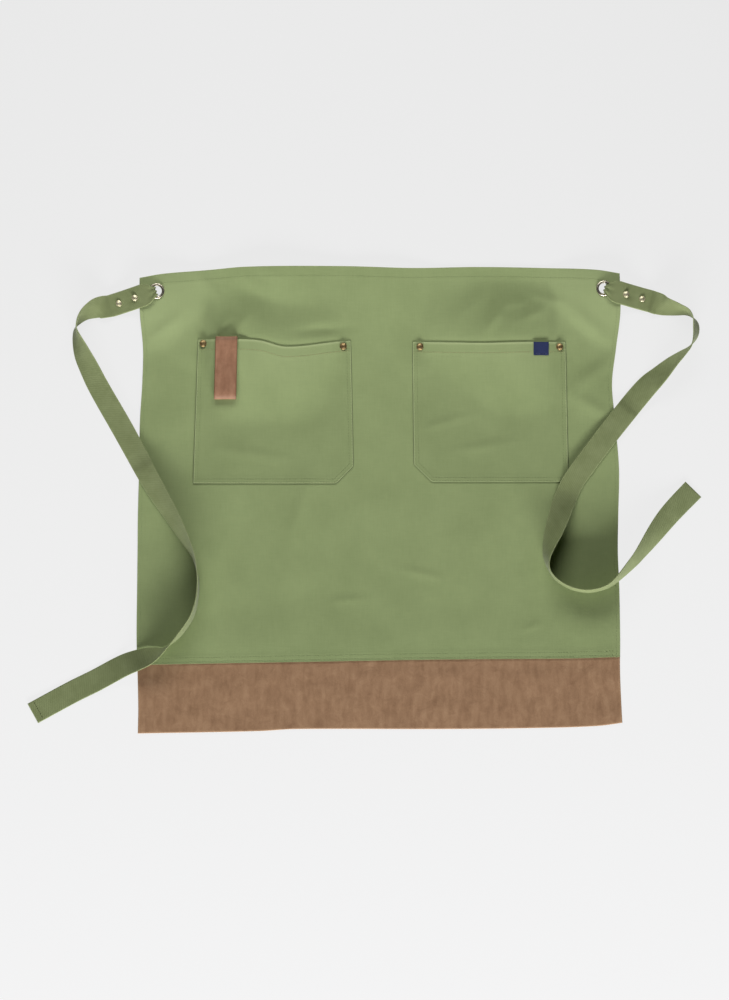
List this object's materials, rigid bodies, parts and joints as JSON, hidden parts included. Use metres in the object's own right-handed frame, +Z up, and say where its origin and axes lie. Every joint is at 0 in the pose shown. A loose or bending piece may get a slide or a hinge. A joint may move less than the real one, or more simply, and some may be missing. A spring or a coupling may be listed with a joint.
{
  "type": "waiter apron",
  "caption": "Waist apron in green canvas, laid flat, with patch pockets, a leather hem band, a leather cloth loop and webbing ties drawn through eyelets.",
  "frame": {"origin": "on the surface the apron lies on, under the middle of its outline with the tie ends included", "axes": "+X to the right of the apron seen from its front, +Y from the hem to the waist edge, +Z up from the surface, out of the front"},
  "size_m": [0.9096, 0.6308, 0.0343],
  "materials": {
    "canvas": "matt cotton canvas",
    "webbing": "matt cotton webbing with diagonal ribs",
    "leather": "soft mottled brown leather",
    "loop_leather": "soft reddish brown leather",
    "label_cloth": "woven navy tape",
    "brass": "antique brass",
    "nickel": "worn nickel"
  },
  "bodies": {
    "root": {"panel": "canvas", "hem_band": "leather", "pocket_left": "canvas", "pocket_right": "canvas", "leather_loop": "loop_leather", "label": "label_cloth", "eyelet_left": "nickel", "eyelet_right": "nickel", "tie_left": "webbing", "tie_right": "webbing", "pocket_rivet_1": "brass", "pocket_rivet_2": "brass", "pocket_rivet_3": "brass", "pocket_rivet_4": "brass", "tie_rivet_1": "brass", "tie_rivet_2": "brass", "tie_rivet_3": "brass", "tie_rivet_4": "brass"}
  },
  "joints": []
}
